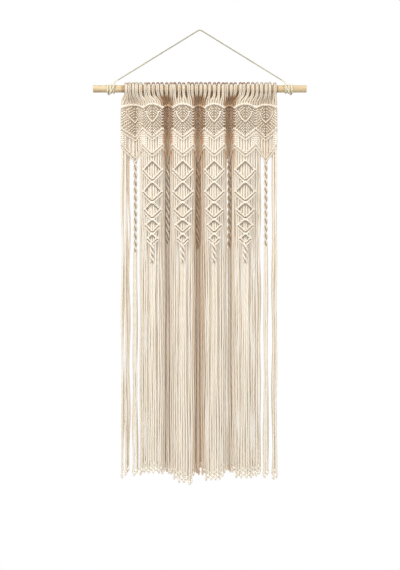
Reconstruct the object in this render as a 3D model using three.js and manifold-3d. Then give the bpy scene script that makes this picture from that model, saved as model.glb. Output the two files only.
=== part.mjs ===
// Macrame curtain on its rod, with the thin cord that it hangs from. Millimetres, +Z up.
// The origin is the top of the hanging cord. X runs along the rod, and the front faces -Y.
// The knotted cloth is laid out flat first: across it from 0 to CLOTH_WIDTH, down it from the
// axis of the rod, and through it with the back positive. drape() then gathers it into folds.
import * as THREE from "three";
import { mergeVertices } from "three/addons/utils/BufferGeometryUtils.js";
import Module from "manifold-3d";

const wasm = await Module();
wasm.setup();

// Rod and its cord
const ROD_RADIUS = 11;
const ROD_LENGTH = 640;
const ROD_DROP = 176;
const ROD_SIDES = 24;
const GAP = 0.35;
const HANGING_CORD_RADIUS = 2;
const HITCH = { turns: 3, pitch: 9, stepsPerTurn: 8, sides: 4, startX: -280, coilRadius: 14.6 };
const LEAD_OUT = [
  { x: -252.4, z: -156.6 },
  { x: -250.2, z: -152 },
  { x: -246.85, z: -149.92 },
];

// Route of the hanging cord, from the left hitch over the hanging point to the right one
const CORD_ROUTE = [
  [-246.5, -149.7], [-220, -133.4], [-180, -108.8], [-140, -84.1], [-100, -59.5], [-60, -34.9],
  [-30, -16.4], [-14, -6.5], [-6.3, -1.8], [-3, -0.4], [0, 0], [3, -0.4], [6.3, -1.8], [14, -6.5],
  [30, -16.4], [60, -34.9], [100, -59.5], [140, -84.1], [180, -108.8], [220, -133.4], [246.5, -149.7],
];
const CORD_STEPS = 48;
const CORD_SIDES = 8;

// Cloth
const MOTIFS = 9;
const MOTIF_WIDTH = 66;
const CLOTH_WIDTH = MOTIFS * MOTIF_WIDTH;
const CORDS_PER_MOTIF = 8;
const CORD_PITCH = MOTIF_WIDTH / CORDS_PER_MOTIF;
const STRAND_RADIUS = 3.1;
const STRAND_SIDES = 3;
const BAR_SIDES = 4;

// The folds seen from above, at every half motif: place along the rod and depth behind it
const FOLDS = [
  { along: -236, depth: -9 },
  { along: -194, depth: 9 },
  { along: -169, depth: -6 },
  { along: -142, depth: -19 },
  { along: -114, depth: -6 },
  { along: -97, depth: 21 },
  { along: -79, depth: -5 },
  { along: -51, depth: -19 },
  { along: -22, depth: -6 },
  { along: -6, depth: 20 },
  { along: 16, depth: -5 },
  { along: 43, depth: -19 },
  { along: 71, depth: -6 },
  { along: 89, depth: 21 },
  { along: 106, depth: -5 },
  { along: 136, depth: -19 },
  { along: 166, depth: -5 },
  { along: 198, depth: 7 },
  { along: 231, depth: -9 },
];
const ROD_START = FOLDS[0].along;
const ROD_SPAN = FOLDS[FOLDS.length - 1].along - ROD_START;
const GATHER = { from: 14, to: 46 };
const FOLD_STEP = 1;
const FOLD_SLACK = 2;

// Heading: lark's head loops over the rod, their legs, and the first row of knots
const LOOPS = MOTIFS * CORDS_PER_MOTIF / 2;
const LOOP = { width: 10.8, thickness: 4.2, radius: 15.6, fork: 20, endBack: 2.4, endDrop: 19.3 };
const LOOP_ANGLES = [45, 105, 165, 225, 285];
const TOP_BAR = { drop: 47, arch: 11, high: 4.3, low: 3.7, sides: 6, stepsPerMotif: 4, forward: -2 };

// Leaf panels: a ribbed band whose lower edge is a row of V bars
const PANEL = { columnsPerMotif: 4, rows: 12, rib: 3.7, groove: 2.3, bar: 4.6, edge: 3.2, chevron: 17 };
const PANEL_EDGE = { side: 128, middle: 151 };

// Second row of V bars
const V_BAR = { side: 170, middleDiamonds: 201, middleSpiral: 216, radius: 5.2, depth: 3.4, forward: -2.7 };

// Diamond chain: how far down each crossing lies, and the widest place below it
const DIAMONDS = [
  { crossing: 215, side: 245, reach: 30 },
  { crossing: 278, side: 310, reach: 30 },
  { crossing: 339, side: 364, reach: 26 },
  { crossing: 390, side: 410, reach: 21 },
  { crossing: 433, side: 450, reach: 15 },
];
const CHAIN = { end: 467, forward: -6.8, radius: 3.9, wideFrom: 14 };
const CHAIN_SPIRAL = { from: 461.5, to: 521, wide: 8, thick: 5, forward: -3.5, halfTurn: 24 };

// Long spirals, left to right
const SPIRALS = [
  { motif: 0, to: 493 },
  { motif: 2, to: 468 },
  { motif: 4, to: 483 },
  { motif: 6, to: 480 },
  { motif: 8, to: 474 },
];
const SPIRAL = { from: 221.6, wide: 6.5, thick: 4, halfTurn: 22.8, stepsPerHalfTurn: 2 };

// Fringe: how far down the end knots hang at the left and right side of each motif
const HEM = [
  { left: 1160, right: 1148 },
  { left: 1143, right: 1143 },
  { left: 1146, right: 1149 },
  { left: 1161, right: 1182 },
  { left: 1152, right: 1149 },
  { left: 1167, right: 1161 },
  { left: 1143, right: 1143 },
  { left: 1158, right: 1158 },
  { left: 1152, right: 1167 },
];
const END_KNOT = { radius: 4.6, above: 5, shoulder: 1.5, below: 2.2, tail: 7, tailRadius: 1.6, stagger: 7 };
const SPIRAL_BUNDLE = [
  { top: -2.4, foot: -4.3, backTop: -2.4, backFoot: -4.3, rise: 0 },
  { top: 2.4, foot: 4.3, backTop: -2.4, backFoot: -4.3, rise: 9 },
  { top: -2.4, foot: -4.3, backTop: 2.4, backFoot: 4.3, rise: 5 },
  { top: 2.4, foot: 4.3, backTop: 2.4, backFoot: 4.3, rise: 13 },
];
const CHAIN_BUNDLE = [
  { top: -5.5, foot: -12.4, backTop: -1, backFoot: 0, rise: 0 },
  { top: -1.9, foot: -4.1, backTop: -4, backFoot: 0, rise: 7 },
  { top: 1.9, foot: 4.1, backTop: -1, backFoot: 0, rise: 0 },
  { top: 5.5, foot: 12.4, backTop: -4, backFoot: 0, rise: 7 },
];

const cotton = new THREE.MeshStandardMaterial({ color: 0xe9dcc6, roughness: 0.95, metalness: 0 });
const twine = new THREE.MeshStandardMaterial({ color: 0xd8d0b6, roughness: 0.9, metalness: 0 });
const wood = new THREE.MeshStandardMaterial({ color: 0xddc89b, roughness: 0.6, metalness: 0 });

const FRONT = new THREE.Vector3(0, -1, 0);

// The spline through the folds, at a place across the cloth
function foldAt(across) {
  const station = THREE.MathUtils.clamp(across / MOTIF_WIDTH * 2, 0, FOLDS.length - 1);
  const i = Math.min(Math.floor(station), FOLDS.length - 2);
  const f = station - i;
  const rows = [i - 1, i, i + 1, i + 2].map((k) => FOLDS[THREE.MathUtils.clamp(k, 0, FOLDS.length - 1)]);
  const weights = [
    (-f + 2 * f * f - f * f * f) / 2,
    (2 - 5 * f * f + 3 * f * f * f) / 2,
    (f + 4 * f * f - 3 * f * f * f) / 2,
    (-f * f + f * f * f) / 2,
  ];
  return {
    along: rows.reduce((sum, row, k) => sum + weights[k] * row.along, 0),
    depth: rows.reduce((sum, row, k) => sum + weights[k] * row.depth, 0),
  };
}

// Hangs one point of the flat cloth in its folds
function hang(point) {
  const gather = THREE.MathUtils.smoothstep(-point.z, GATHER.from, GATHER.to);
  const edge = THREE.MathUtils.clamp(point.x, 0, CLOTH_WIDTH);
  const before = foldAt(Math.max(edge - FOLD_STEP, 0));
  const after = foldAt(Math.min(edge + FOLD_STEP, CLOTH_WIDTH));
  const here = foldAt(edge);
  const length = Math.hypot(after.along - before.along, after.depth - before.depth);
  const run = (after.along - before.along) / length;
  const rise = (after.depth - before.depth) / length;
  const straight = ROD_START + edge / CLOTH_WIDTH * ROD_SPAN;
  const beyond = point.x - edge;
  const back = point.y;
  return new THREE.Vector3(
    THREE.MathUtils.lerp(straight, here.along, gather) + beyond * run - back * rise * gather,
    here.depth * gather + beyond * rise * gather + back * THREE.MathUtils.lerp(1, run, gather),
    point.z - ROD_DROP,
  );
}

function drape(geometry) {
  const position = geometry.getAttribute("position");
  const point = new THREE.Vector3();
  for (let i = 0; i < position.count; i += 1) {
    point.copy(hang(point.fromBufferAttribute(position, i)));
    position.setXYZ(i, point.x, point.y, point.z);
  }
  return geometry;
}

// A closed prism along rows of { x, y, z, wide, thick, turn, front }, in order along its length.
// An edge faces the front, or a flat side where firstAngle is half a side's angle.
function sweep(rows, sides, firstAngle = 0) {
  const steps = rows.length - 1;
  const geometry = new THREE.CylinderGeometry(1, 1, 1, sides, steps, false, firstAngle);
  const position = geometry.getAttribute("position");
  const centres = rows.map((row) => new THREE.Vector3(row.x, row.y, row.z));
  const frames = rows.map((row, i) => {
    const ahead = centres[Math.min(i + 1, steps)].clone().sub(centres[Math.max(i - 1, 0)]).normalize();
    const side = (row.front ?? FRONT).clone().cross(ahead).normalize();
    return { side, front: ahead.clone().cross(side) };
  });
  for (let i = 0; i < position.count; i += 1) {
    const k = Math.round((0.5 - position.getY(i)) * steps);
    const row = rows[k];
    const turn = row.turn ?? 0;
    const wide = position.getX(i) * row.wide;
    const thick = position.getZ(i) * (row.thick ?? row.wide);
    const point = centres[k].clone();
    point.addScaledVector(frames[k].side, wide * Math.cos(turn) + thick * Math.sin(turn));
    point.addScaledVector(frames[k].front, thick * Math.cos(turn) - wide * Math.sin(turn));
    position.setXYZ(i, point.x, point.y, point.z);
  }
  return geometry;
}

function toSolid(geometry) {
  geometry.deleteAttribute("normal");
  geometry.deleteAttribute("uv");
  const merged = mergeVertices(geometry, 1e-4);
  const mesh = new wasm.Mesh({
    numProp: 3,
    vertProperties: new Float32Array(merged.getAttribute("position").array),
    triVerts: new Uint32Array(merged.index.array),
  });
  return new wasm.Manifold(mesh);
}

function fuse(geometries) {
  const whole = geometries.map(toSolid).reduce((sum, solid) => sum.add(solid));
  const mesh = whole.getMesh();
  const geometry = new THREE.BufferGeometry();
  geometry.setAttribute("position", new THREE.BufferAttribute(mesh.vertProperties, 3));
  geometry.setIndex(new THREE.BufferAttribute(mesh.triVerts, 1));
  return geometry;
}

// From -1 at the left side of a motif over 0 at its middle to 1 at its right side
function placeInMotif(across) {
  const motif = Math.min(Math.floor(across / MOTIF_WIDTH), MOTIFS - 1);
  return 2 * (across / MOTIF_WIDTH - motif) - 1;
}

function topBarDrop(across) {
  return TOP_BAR.drop + TOP_BAR.arch * placeInMotif(across) ** 2;
}

function panelEdgeDrop(across) {
  return THREE.MathUtils.lerp(PANEL_EDGE.middle, PANEL_EDGE.side, Math.abs(placeInMotif(across)));
}

function hasSpiral(motif) {
  return motif % 2 === 0;
}

function vBarDrop(across) {
  const motif = Math.min(Math.floor(across / MOTIF_WIDTH), MOTIFS - 1);
  const middle = hasSpiral(motif) ? V_BAR.middleSpiral : V_BAR.middleDiamonds;
  return THREE.MathUtils.lerp(middle, V_BAR.side, Math.abs(placeInMotif(across)));
}

function middleOf(motif) {
  return (motif + 0.5) * MOTIF_WIDTH;
}

function cordPlace(cord) {
  return (cord + 0.5) * CORD_PITCH;
}

function hemDrop(across) {
  const motif = Math.min(Math.floor(across / MOTIF_WIDTH), MOTIFS - 1);
  const share = (placeInMotif(across) + 1) / 2;
  return THREE.MathUtils.lerp(HEM[motif].left, HEM[motif].right, share);
}

// A strand from its root to its end knot, and a short tail below the knot
function knottedStrand(root, foot) {
  const row = (drop, radius) => {
    const share = (drop - root.drop) / (foot.drop - root.drop);
    return {
      x: THREE.MathUtils.lerp(root.across, foot.across, share),
      y: THREE.MathUtils.lerp(root.back, foot.back, share),
      z: -drop,
      wide: radius,
    };
  };
  return drape(sweep([
    row(root.drop, STRAND_RADIUS),
    row(foot.drop - END_KNOT.above, STRAND_RADIUS),
    row(foot.drop - END_KNOT.shoulder, END_KNOT.radius),
    row(foot.drop + END_KNOT.below, END_KNOT.radius),
    row(foot.drop + END_KNOT.tail, END_KNOT.tailRadius),
  ], STRAND_SIDES));
}

function plainStrand(across, from, to) {
  const rows = [from, to].map((drop) => ({ x: across, y: 0, z: -drop, wide: STRAND_RADIUS }));
  return drape(sweep(rows, STRAND_SIDES));
}

// Four strands that leave the foot of a spiral together and part on their way down
function bundle(across, from, strands) {
  return strands.map((strand) => knottedStrand(
    { across: across + strand.top, back: strand.backTop, drop: from },
    { across: across + strand.foot, back: strand.backFoot, drop: hemDrop(across) - strand.rise },
  ));
}

function twistedColumn(across, back, from, to, size, stepsPerHalfTurn) {
  const steps = Math.round((to - from) / size.halfTurn * stepsPerHalfTurn);
  const rows = Array.from({ length: steps + 1 }, (_, i) => ({
    x: across,
    y: back,
    z: -THREE.MathUtils.lerp(from, to, i / steps),
    wide: size.wide,
    thick: size.thick,
    turn: i * Math.PI / stepsPerHalfTurn,
  }));
  return drape(sweep(rows, BAR_SIDES));
}

function makeRod() {
  const geometry = new THREE.CylinderGeometry(ROD_RADIUS, ROD_RADIUS, ROD_LENGTH, ROD_SIDES, 1);
  const mesh = new THREE.Mesh(geometry, wood);
  mesh.rotation.z = Math.PI / 2;
  mesh.position.z = -ROD_DROP;
  return mesh;
}

function makeHangingCord() {
  const points = CORD_ROUTE.map(([x, z]) => new THREE.Vector3(x, 0, z));
  const section = new THREE.Shape();
  section.setFromPoints(Array.from({ length: CORD_SIDES }, (_, i) => {
    const angle = (i / CORD_SIDES) * Math.PI * 2;
    return new THREE.Vector2(HANGING_CORD_RADIUS * Math.cos(angle), HANGING_CORD_RADIUS * Math.sin(angle));
  }));
  return new THREE.ExtrudeGeometry(section, {
    steps: CORD_STEPS,
    bevelEnabled: false,
    extrudePath: new THREE.CatmullRomCurve3(points),
  });
}

// Turns of cord wound on the rod, whose last turn leads up to the hanging cord
function makeHitch(side) {
  const steps = HITCH.turns * HITCH.stepsPerTurn;
  const rows = Array.from({ length: steps + 1 }, (_, i) => {
    const angle = (i / HITCH.stepsPerTurn) * Math.PI * 2;
    const radial = new THREE.Vector3(0, -Math.sin(angle), Math.cos(angle));
    return {
      x: HITCH.startX + (i / HITCH.stepsPerTurn) * HITCH.pitch,
      y: radial.y * HITCH.coilRadius,
      z: radial.z * HITCH.coilRadius - ROD_DROP,
      wide: HANGING_CORD_RADIUS,
      front: radial,
    };
  });
  for (const place of LEAD_OUT) {
    rows.push({ ...place, y: 0, wide: HANGING_CORD_RADIUS, front: new THREE.Vector3(0, 0, 1) });
  }
  const mirrored = rows.map((row) => ({ ...row, x: -row.x })).reverse();
  return sweep(side === "left" ? rows : mirrored, HITCH.sides);
}

// Both legs of a lark's head, up from the first row of knots, over the rod and back under it
function loopOverRod(index) {
  const across = (index + 0.5) * 2 * CORD_PITCH;
  const flat = Math.PI / BAR_SIDES;
  const size = {
    wide: LOOP.width / 2 / Math.cos(flat),
    thick: LOOP.thickness / 2 / Math.cos(flat),
  };
  const rows = [
    { x: across, y: 0, z: -topBarDrop(across), ...size },
    { x: across, y: 0, z: -LOOP.fork, ...size },
  ];
  for (const degrees of LOOP_ANGLES) {
    const angle = THREE.MathUtils.degToRad(degrees);
    const radial = new THREE.Vector3(0, -Math.sin(angle), -Math.cos(angle));
    rows.push({ x: across, y: radial.y * LOOP.radius, z: radial.z * LOOP.radius, front: radial, ...size });
  }
  const underneath = new THREE.Vector3(0, 0, -1);
  rows.push({ x: across, y: LOOP.endBack, z: -LOOP.endDrop, front: underneath, ...size });
  return drape(sweep(rows, BAR_SIDES, flat));
}

function makeHeading() {
  const steps = MOTIFS * TOP_BAR.stepsPerMotif;
  const rows = Array.from({ length: steps + 1 }, (_, i) => {
    const across = (i / steps) * CLOTH_WIDTH;
    const radius = i % 2 === 0 ? TOP_BAR.low : TOP_BAR.high;
    return { x: across, y: TOP_BAR.forward, z: -topBarDrop(across), wide: radius };
  });
  const pieces = [drape(sweep(rows, TOP_BAR.sides))];
  for (let loop = 0; loop < LOOPS; loop += 1) {
    pieces.push(loopOverRod(loop));
  }
  return fuse(pieces);
}

// Ribs slant down and outwards from the middle of each leaf
function makeLeafPanels() {
  const columns = MOTIFS * PANEL.columnsPerMotif;
  const geometry = new THREE.BoxGeometry(1, 1, 1, columns, 1, PANEL.rows);
  const position = geometry.getAttribute("position");
  for (let i = 0; i < position.count; i += 1) {
    const across = (position.getX(i) + 0.5) * CLOTH_WIDTH;
    const row = Math.round((0.5 - position.getZ(i)) * PANEL.rows);
    const share = row / PANEL.rows;
    const top = topBarDrop(across) + TOP_BAR.high + GAP;
    const ribSlant = PANEL.chevron * Math.abs(placeInMotif(across)) * Math.sin(Math.PI * share);
    const drop = THREE.MathUtils.lerp(top, panelEdgeDrop(across), share) + ribSlant;
    let half = row % 2 === 0 ? PANEL.groove : PANEL.rib;
    if (row === PANEL.rows - 1) {
      half = PANEL.bar;
    }
    if (row === PANEL.rows) {
      half = PANEL.edge;
    }
    position.setXYZ(i, across, Math.sign(position.getY(i)) * half, -drop);
  }
  return drape(geometry);
}

function makeFringe() {
  const pieces = [];
  const steps = MOTIFS * PANEL.columnsPerMotif;
  const rows = Array.from({ length: steps + 1 }, (_, i) => {
    const across = (i / steps) * CLOTH_WIDTH;
    const place = { x: across, y: V_BAR.forward, z: -vBarDrop(across) };
    return { ...place, wide: V_BAR.radius, thick: V_BAR.depth };
  });
  pieces.push(drape(sweep(rows, BAR_SIDES)));
  for (let cord = 0; cord < MOTIFS * CORDS_PER_MOTIF; cord += 1) {
    const across = cordPlace(cord);
    const motif = Math.floor(cord / CORDS_PER_MOTIF);
    const inward = (STRAND_RADIUS + FOLD_SLACK) * Math.sign(middleOf(motif) - across);
    const root = panelEdgeDrop(across + inward) + GAP;
    const place = cord % CORDS_PER_MOTIF;
    const inMiddle = place > 1 && place < CORDS_PER_MOTIF - 2;
    if (!inMiddle) {
      const foot = hemDrop(across) - (cord % 2) * END_KNOT.stagger;
      pieces.push(knottedStrand({ across, back: 0, drop: root }, { across, back: 0, drop: foot }));
    } else if (hasSpiral(motif)) {
      pieces.push(plainStrand(across, root, vBarDrop(across)));
    } else {
      pieces.push(plainStrand(across, root, CHAIN_SPIRAL.from - GAP));
    }
  }
  return fuse(pieces);
}

// Two bars that zigzag across each other, one from each side. The long arms bend with the fold.
function zigzagBar(motif, firstSide) {
  const rows = [];
  const add = (share, drop) => rows.push({
    x: middleOf(motif) + share,
    y: CHAIN.forward,
    z: -drop,
    wide: CHAIN.radius,
  });
  DIAMONDS.forEach((diamond, i) => {
    const reach = (i % 2 === 0 ? firstSide : -firstSide) * diamond.reach;
    const next = i + 1 < DIAMONDS.length ? DIAMONDS[i + 1].crossing : CHAIN.end;
    const isWide = diamond.reach > CHAIN.wideFrom;
    add(0, diamond.crossing);
    if (isWide) {
      add(reach / 2, (diamond.crossing + diamond.side) / 2);
    }
    add(reach, diamond.side);
    if (isWide) {
      add(reach / 2, (diamond.side + next) / 2);
    }
  });
  add(0, CHAIN.end);
  return drape(sweep(rows, STRAND_SIDES));
}

function makeDiamondChain(motif) {
  const across = middleOf(motif);
  const { from, to, forward } = CHAIN_SPIRAL;
  return fuse([
    zigzagBar(motif, 1),
    zigzagBar(motif, -1),
    twistedColumn(across, forward, from, to, CHAIN_SPIRAL, SPIRAL.stepsPerHalfTurn),
    ...bundle(across, to - STRAND_RADIUS, CHAIN_BUNDLE),
  ]);
}

function makeSpiral({ motif, to }) {
  const across = middleOf(motif);
  return fuse([
    twistedColumn(across, 0, SPIRAL.from, to, SPIRAL, SPIRAL.stepsPerHalfTurn),
    ...bundle(across, to - STRAND_RADIUS, SPIRAL_BUNDLE),
  ]);
}

function named(name, shape, material) {
  const mesh = shape.isMesh ? shape : new THREE.Mesh(shape, material);
  mesh.name = name;
  return mesh;
}

const curtain = new THREE.Group();
curtain.add(
  named("rod", makeRod()),
  named("hanging_cord", makeHangingCord(), twine),
  named("hitch_left", makeHitch("left"), twine),
  named("hitch_right", makeHitch("right"), twine),
  named("heading", makeHeading(), cotton),
  named("leaf_panels", makeLeafPanels(), cotton),
  named("fringe", makeFringe(), cotton),
);
for (let motif = 1; motif < MOTIFS; motif += 2) {
  curtain.add(named(`diamond_chain_${(motif + 1) / 2}`, makeDiamondChain(motif), cotton));
}
SPIRALS.forEach((spiral, i) => {
  curtain.add(named(`spiral_${i + 1}`, makeSpiral(spiral), cotton));
});

export default curtain;
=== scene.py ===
"""Looks of a macrame curtain that hangs in folds from a wooden rod.

The cloth is laid out flat first: across it, through it with the back positive, and down it from
the axis of the rod, all in millimetres. hang() then gathers it into the folds of the solid model.
"""

import math

import bmesh
import bpy
import numpy as np
from mathutils import Matrix, Vector


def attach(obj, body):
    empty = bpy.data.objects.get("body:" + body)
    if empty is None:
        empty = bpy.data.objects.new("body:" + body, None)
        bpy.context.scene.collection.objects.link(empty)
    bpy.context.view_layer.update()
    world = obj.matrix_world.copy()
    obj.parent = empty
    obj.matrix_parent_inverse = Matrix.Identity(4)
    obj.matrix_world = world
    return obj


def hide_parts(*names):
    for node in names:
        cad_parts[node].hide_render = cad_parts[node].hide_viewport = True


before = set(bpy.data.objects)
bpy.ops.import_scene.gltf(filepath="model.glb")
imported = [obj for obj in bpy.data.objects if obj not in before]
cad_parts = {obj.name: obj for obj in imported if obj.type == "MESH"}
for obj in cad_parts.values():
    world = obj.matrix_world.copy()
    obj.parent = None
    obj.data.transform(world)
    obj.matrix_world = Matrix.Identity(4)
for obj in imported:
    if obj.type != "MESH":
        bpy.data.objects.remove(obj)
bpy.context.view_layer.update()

MM = 0.001
LUCK = np.random.default_rng(23)

# Rod. Its sanded edge is given as the distance from the end, and what is worn off the radius there.
ROD_DROP = 176
ROD_RADIUS = 11
ROD_HALF_LENGTH = 320
ROD_SIDES = 72
SANDED_EDGE = [(0, 0.8), (0.25, 0.3), (0.9, 0)]

# Thin cord that carries the rod
TWINE_RADIUS = 2
TWINE_SIDES = 8
TWINE_ROUTE = [
    (-246.5, -149.7), (-220, -133.4), (-180, -108.8), (-140, -84.1), (-100, -59.5), (-60, -34.9),
    (-30, -16.4), (-14, -6.5), (-6.3, -1.8), (-3, -0.4), (0, 0), (3, -0.4), (6.3, -1.8), (14, -6.5),
    (30, -16.4), (60, -34.9), (100, -59.5), (140, -84.1), (180, -108.8), (220, -133.4), (246.5, -149.7),
]

# Its hitches round the rod: degrees from the top, and the place along the rod at some of them
HITCH = {"radius": 2.4, "lean": 2.6, "play": 0.1, "from": 48, "to": 1380, "step": 36,
         "outside_to": 200, "inside_from": 290}
HITCH_PLACES = ([48, 210, 300, 1380], [-255, -271, -278, -251])
HITCH_START = [(-247.0, 0.0, -150.1), (-250.6, -1.6, -152.5), (-254.2, -5.0, -156.0)]

# Cloth
MOTIFS = 9
MOTIF_WIDTH = 66
HALF_MOTIF = MOTIF_WIDTH / 2
CLOTH_WIDTH = MOTIFS * MOTIF_WIDTH
CORDS_PER_MOTIF = 8
CORD_PITCH = MOTIF_WIDTH / CORDS_PER_MOTIF
CORD_RADIUS = 2.2

# Folds: place along the rod and depth behind it, at the sides and the middle of each motif. The cloth
# passes from straight into its folds between the two drops of GATHER.
FOLDS = np.array([
    (-236, -9), (-194, 9), (-169, -6), (-142, -19), (-114, -6), (-97, 21), (-79, -5), (-51, -19),
    (-22, -6), (-6, 20), (16, -5), (43, -19), (71, -6), (89, 21), (106, -5), (136, -19), (166, -5),
    (198, 7), (231, -9),
], float)
GATHER = (14, 46)

# Lark's heads: the legs between the first knots and the rod, their way round it, and the bight on top.
# Near the left end the loops are pulled towards the middle.
LOOP_LUCK = {"slant": 1.5, "shift": 1.3, "most_shift": 2, "gap": (0.1, 1.0), "lift": (0.2, 1.6),
             "thickness": (0.9, 1.12), "lean": 1.2}
LEG = {"share_up": (0, 0.28, 0.65, 1), "back": (0, -1.0, -3.5, -6.5), "drops": (38, 29, 21)}
LOOP_DEGREES = (50, 80, 110, 140, 170, 200, 230, 260, 290, 315)
LOOP_JOIN = {"apart": 2.2, "back": 4.2, "drop": 17.5}
BIGHT = [(-4.6, 9, 0.62), (-4.2, 4, 0.9), (-1.8, -1, 1.0), (1.8, -1, 1.0), (4.2, 4, 0.9), (4.6, 9, 0.62)]
LEG_BEHIND = {"pitch": 5.5, "radius": 3.2, "share_up": (1, 0.8, 0, 0), "back": (6.0, 4.8, 3.6, 3.2),
              "drops": (9, 17, 32, 48)}
ROD_PULL = {"most": 14, "reach": 80}

# Rows of knots, as how far down they hang. The panel edge and the V bars are two rows over a cord.
TOP_BAR = {"drop": 47, "arch": 11, "forward": -1.2}
PANEL_EDGE = {"side": 128, "middle": 155, "rows": (-9.6, 0.8), "forward": -2.6,
              "cord_forward": -1.2, "cord_shift": -4.4}
V_BAR = {"side": 170, "middle_diamonds": 200, "middle_spiral": 215, "rows": (-5.4, 5.2), "forward": -3.4,
         "cord_forward": -1.8}
ROW_CORD_RADIUS = 2.4
ROW_POINTS = 145
BAR_POINTS = 9

# Kinds of knots: distance between them, size of a turn sideways, through and along, and their lean
TOP_KNOTS = {"pitch": 4.1, "size": (1.0, 1.0, 1.05), "lean": 0.1}
RIB_KNOTS = {"pitch": 4.1, "size": (0.52, 1.04, 0.84), "lean": 0.3, "pairing": 0.09, "loose": True}
LEAF_KNOTS = {"pitch": 4.1, "size": (0.66, 1.05, 0.9), "lean": -0.3}
V_KNOTS = {"pitch": 3.8, "size": (0.76, 1.08, 0.85), "lean": -0.3}
SIDE_KNOTS = {"pitch": 3.4, "size": (0.80, 0.9, 1.0), "lean": 0.5, "loose": True}
UPPER_CHAIN_KNOTS = {"pitch": 4.4, "size": (0.92, 0.92, 1.05), "lean": 0.35}
LOWER_CHAIN_KNOTS = {"pitch": 3.9, "size": (0.74, 0.92, 0.9), "lean": -0.35}
HIDDEN_CORD_RADIUS = 1.9
KNOT_LUCK = 0.06

# Leaves in the knotted band: the V under the upper leaf, and the ribs on both sides of the middle
LEAF_V = np.array([(0.0, 101), (0.3, 91), (0.52, 80), (0.62, 68)])
LEAF_V_FORWARD = -1.6
RIB = {"first": 40, "pitch": 8.3, "last": 146, "slope_high": 0.84, "slope_low": 1.3,
       "steepens": (82, 112), "under_top": 7.2, "over_edge": 8.2, "from_v": 6.76, "v_end": 0.66,
       "forward": -0.6}
BACKING = {"back": 0.5, "radius": 2.2, "under_top": 3, "over_edge": 1, "lit_from": 0.35}
# Painted shadow line under the top bar: a dark cord just behind and below it
SHADOW_UNDER_TOP_BAR = {"forward": -0.8, "below": 4.6, "radius": 1.8}

# Columns of single knots between the panel edge and the V bars
SIDE_COLUMNS = (0.72, 0.92)
SIDE_COLUMN = {"pitch": 6.4, "half_width": 3.4, "slope": 0.6, "forward": -0.8, "under_edge": 5,
               "over_bar": 9}

# Diamond chains: crossing, widest place below it, and half the width there
DIAMONDS = [(215, 245, 30), (278, 310, 30), (339, 364, 26), (390, 410, 21), (433, 450, 15)]
CHAIN = {"end": 467, "forward": -6.8, "rows": (-5.6, 5.2), "cord_forward": -4.2, "shadow_cord_below": 5.2,
         "shadow_cord_radius": 1.7}
CHAIN_SPIRAL = {"from": 462, "to": 521, "reach": 5.0, "core": 3.4, "forward": -5.5, "half_turn": 19,
                "bulge": 0, "pitch": 3.6, "size": (0.85, 0.8, 1.1), "lean": 0.3}

# Long spirals: motif and foot. The inner ones bulge out of their folds, and two have knots painted
# browner as the shade deep in their folds.
SPIRALS = [(0, 493), (2, 468), (4, 483), (6, 480), (8, 474)]
SPIRAL = {"from": 214, "reach": 4.3, "core": 3.2, "forward": 0, "half_turn": 22.8,
          "pitch": 3.6, "size": (0.68, 0.70, 0.95), "lean": 0.3}
INNER_BULGE = -9
BULGE_FADE = 40
COLUMN_STEP = 2.5
FOLD_SHADE_MOTIFS = (4, 6)

# Ends of the fringe, at the left and right side of each motif
HEM = [(1160, 1148), (1143, 1143), (1146, 1149), (1161, 1182), (1152, 1149), (1167, 1161), (1143, 1143),
       (1158, 1158), (1152, 1167)]
HEM_STAGGER = 7

# Strands: their sway, and the overhand knot and the tail at the end
STRAND_RADIUS = 3.0
SWAY = {"step": 32, "full_after": 260, "waves": (210, 420), "slow": 0.9, "quick": 0.6}
TAIL = {"knot": 3, "end": 9, "aside": 0.4, "luck": 1.0, "thickness": (0.8, 0.9)}
END_KNOT = {"turns": ((0.55, -1.3), (-0.5, 1.4)), "size": (1.3, 1.2, 1.4), "luck": 0.15}

# Second layer of strands, in places of one cord's width. It ends early where the curtain can be seen
# through, and has extra strands between the places near its ends and in three of its folds.
BACK_STRAND = {"back": 4.2, "radius": 2.9, "rise": 16, "stagger": 6}
OPEN_PLACES = {0: (3, 4, 5, 6), 6: (1, 2, 3), 8: (3, 4, 5)}
EXTRA_PLACES = [2.5, 68.7]
EXTRA_PLACES += [motif * CORDS_PER_MOTIF + step + 0.5 for motif in (2, 4, 6) for step in range(1, 7)]

# Strands below a spiral: across at top and foot, behind at top and foot, and how far above the hem
SPIRAL_BUNDLE = [(-2.7, -4.5, -2.6, -4.3, 0), (2.7, 4.5, -2.6, -4.3, 9), (-2.7, -4.5, 2.6, 4.3, 5),
                 (2.7, 4.5, 2.6, 4.3, 13)]
CHAIN_BUNDLE = [(-5.5, -12.4, -1, 0, 0), (-1.9, -4.1, -4, 0, 7), (1.9, 4.1, -1, 0, 0),
                (5.5, 12.4, -4, 0, 7)]
BUNDLE_OVERLAP = 3

# One turn of cord in a knot: radius of its round, and of the cord pulled tight in it
TURN_RADIUS = 2.3
TURN_CORD_RADIUS = 1.75
TURN_POINTS = 10
TURN_SIDES = 5

# Twist of the cords: its map, and its plies with the metres for one round of them
UV_NAME = "along_and_around"
SEAM_STEP = 0.3
PLIES = 3
COTTON_LAY = 0.030
TWINE_LAY = 0.018

# Shade painted into the cords' colour in the folds, in metres: the depths where it begins and where it
# eases again, the heights where it fades below the knotted band and down the fringe, and the distances
# from the middle of the rod at which the middle fold, the closed folds and the painted shade on the rod
# end
FOLD_SHADE_TONE = (0.64, 0.44, 0.29)
# Painted cool shade, laid over the fold shade in the knotted band
BAND_SHADE_TONE = (0.66, 0.64, 0.62)
UNSHADED = (1.0, 1.0, 1.0)
SHADE_DEPTH = (-0.010, -0.002)
EASED_DEPTH = (0.003, 0.020)
BAND_FADE = (-0.34, -0.30)
FRINGE_FADE = (-0.46, -0.33)
MIDDLE_FOLD = (0.017, 0.024)
OUTER_FOLDS = (0.152, 0.172)
LOOP_SHADED_ROD = (0.232, 0.238)

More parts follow.
